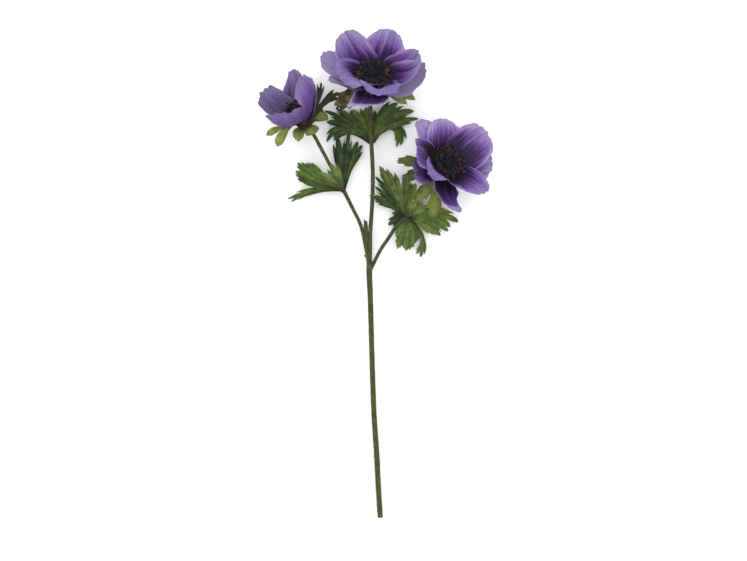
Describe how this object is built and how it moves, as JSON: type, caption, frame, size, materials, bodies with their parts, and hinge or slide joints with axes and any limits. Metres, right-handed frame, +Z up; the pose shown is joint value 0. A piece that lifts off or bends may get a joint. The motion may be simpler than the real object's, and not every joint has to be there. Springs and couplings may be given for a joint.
{
  "type": "anemone flower spray",
  "caption": "Cut anemone spray lying on a surface: a long stem forks into arms with leaf whorls, each ending in an open purple flower with a dark centre.",
  "frame": {"origin": "centre of the bounding box's bottom face, on the surface that the spray lies on", "axes": "+Y along the stem towards the flowers, +Z up out of the surface, towards the faces of the flowers"},
  "size_m": [0.2158, 0.4508, 0.0815],
  "materials": {
    "petal": "matte",
    "seed_cone": "matte",
    "stamen": "matte",
    "bract": "matte",
    "leaf": "matte",
    "stem": "matte"
  },
  "bodies": {
    "root": {"left_bracts": "bract", "left_leaf_back": "leaf", "left_leaf_lower": "leaf", "left_leaf_middle": "leaf", "left_leaf_upper": "leaf", "left_petal_back": "petal", "left_petal_front": "petal", "left_petal_left": "petal", "left_petal_right": "petal", "left_petal_right_back": "petal", "left_seed_cone": "seed_cone", "left_side_stem": "stem", "left_stamens": "stamen", "main_stem": "stem", "right_bracts": "bract", "right_leaf_blade": "leaf", "right_leaf_fan": "leaf", "right_leaf_left": "leaf", "right_leaf_lower": "leaf", "right_leaf_right": "leaf", "right_leaf_small": "leaf", "right_leaf_tail": "leaf", "right_petal_back": "petal", "right_petal_back_left": "petal", "right_petal_back_right": "petal", "right_petal_front": "petal", "right_petal_front_right": "petal", "right_petal_left": "petal", "right_petal_outer_front": "petal", "right_petal_outer_left": "petal", "right_petal_outer_right": "petal", "right_seed_cone": "seed_cone", "right_side_stem": "stem", "right_stamens": "stamen", "top_bracts": "bract", "top_leaf_back": "leaf", "top_leaf_drooping": "leaf", "top_leaf_left": "leaf", "top_leaf_right": "leaf", "top_petal_back_left": "petal", "top_petal_back_right": "petal", "top_petal_front": "petal", "top_petal_front_left": "petal", "top_petal_outer_front": "petal", "top_petal_outer_left": "petal", "top_petal_outer_left_front": "petal", "top_petal_outer_right": "petal", "top_petal_right": "petal", "top_petal_right_back": "petal", "top_seed_cone": "seed_cone", "top_stamens": "stamen"}
  },
  "joints": []
}
